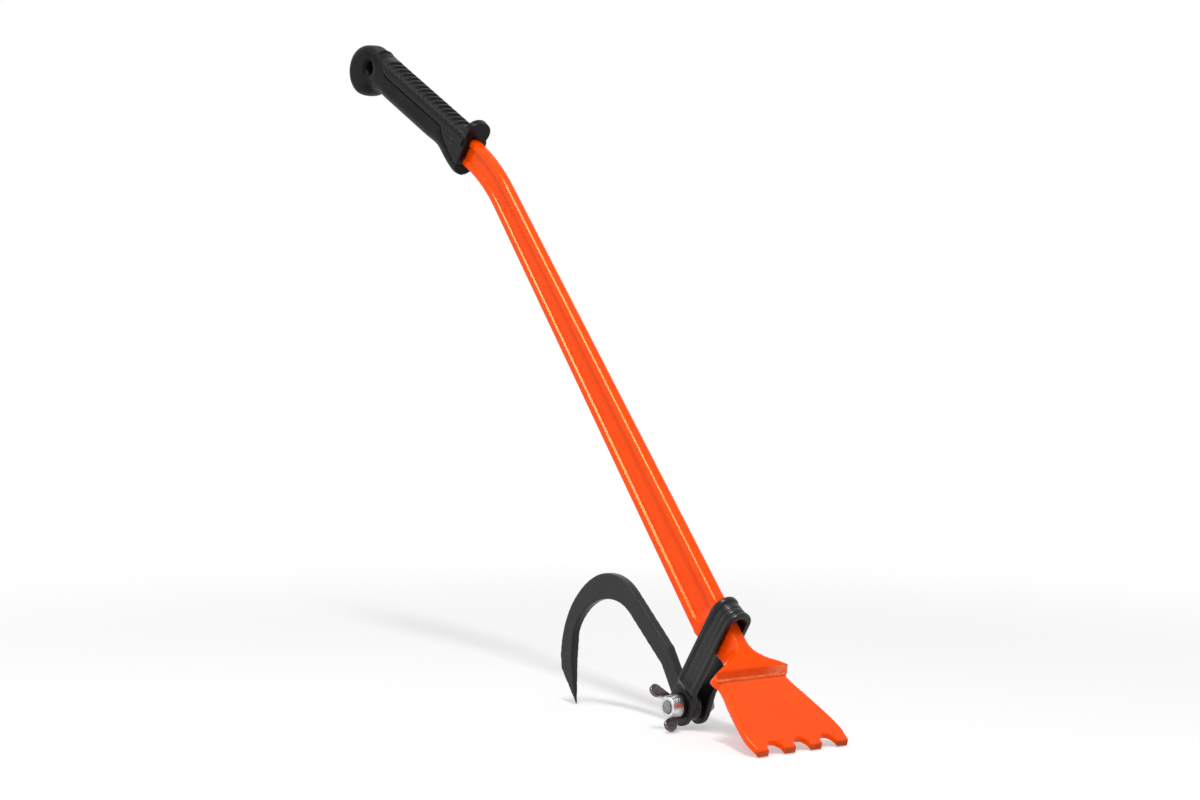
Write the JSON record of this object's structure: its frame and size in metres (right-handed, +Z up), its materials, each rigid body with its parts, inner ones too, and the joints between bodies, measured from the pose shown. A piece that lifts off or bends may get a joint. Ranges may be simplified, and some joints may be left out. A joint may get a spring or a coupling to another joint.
{
  "type": "felling lever",
  "caption": "Hand lever for felling and turning small trees: toothed blade, bent shaft of I section, moulded grip with a hang hole, and a hook hinged in a strap that slides on the shaft.",
  "frame": {"origin": "under the middle of the lever's length and width, on the floor that it stands on", "axes": "+Z up, +X toward the toothed blade, -X toward the grip, +Y across the blade, with the wing nut on the -Y side; the lever stands on its teeth and its hook's tip"},
  "size_m": [0.6009, 0.0908, 0.5457],
  "materials": {
    "paint": "gloss",
    "grip_hard": "satin",
    "grip_soft": "matte",
    "black_steel": "satin",
    "zinc": "satin"
  },
  "bodies": {
    "lever": {"bar": "paint", "grip_core": "grip_hard", "grip_sleeve": "grip_soft"},
    "bolt": {"pivot_bolt": "zinc"},
    "strap": {"link_strap": "black_steel"},
    "hook": {"hook": "black_steel"},
    "washer": {"washer": "black_steel"},
    "nut": {"wing_nut": "zinc"}
  },
  "joints": [
    {"name": "strap_slide", "type": "slide", "parent": "lever", "child": "bolt", "axis": [-0.6428, 0, 0.766], "range_m": [-0.003, 0.44]},
    {"name": "strap_tilt", "type": "hinge", "parent": "bolt", "child": "strap", "pos_m": [0.16531, 0, 0.01812], "axis": [0, 1, 0], "range_deg": [-1.2, 3.5]},
    {"name": "hook_swing", "type": "hinge", "parent": "bolt", "child": "hook", "pos_m": [0.16531, 0, 0.01812], "axis": [0, 1, 0], "range_deg": [-140, 11.5]},
    {"name": "washer_slide", "type": "slide", "parent": "bolt", "child": "washer", "axis": [0, -1, 0], "range_m": [0, 0.003]},
    {"name": "nut_spin", "type": "hinge", "parent": "washer", "child": "nut", "pos_m": [0.16531, 0, 0.01812], "axis": [0, -1, 0], "range_deg": [0, 720]}
  ],
  "couplings": [
    {"joint": "washer_slide", "follows": "nut_spin", "m_per_rad": 0.00023873}
  ]
}
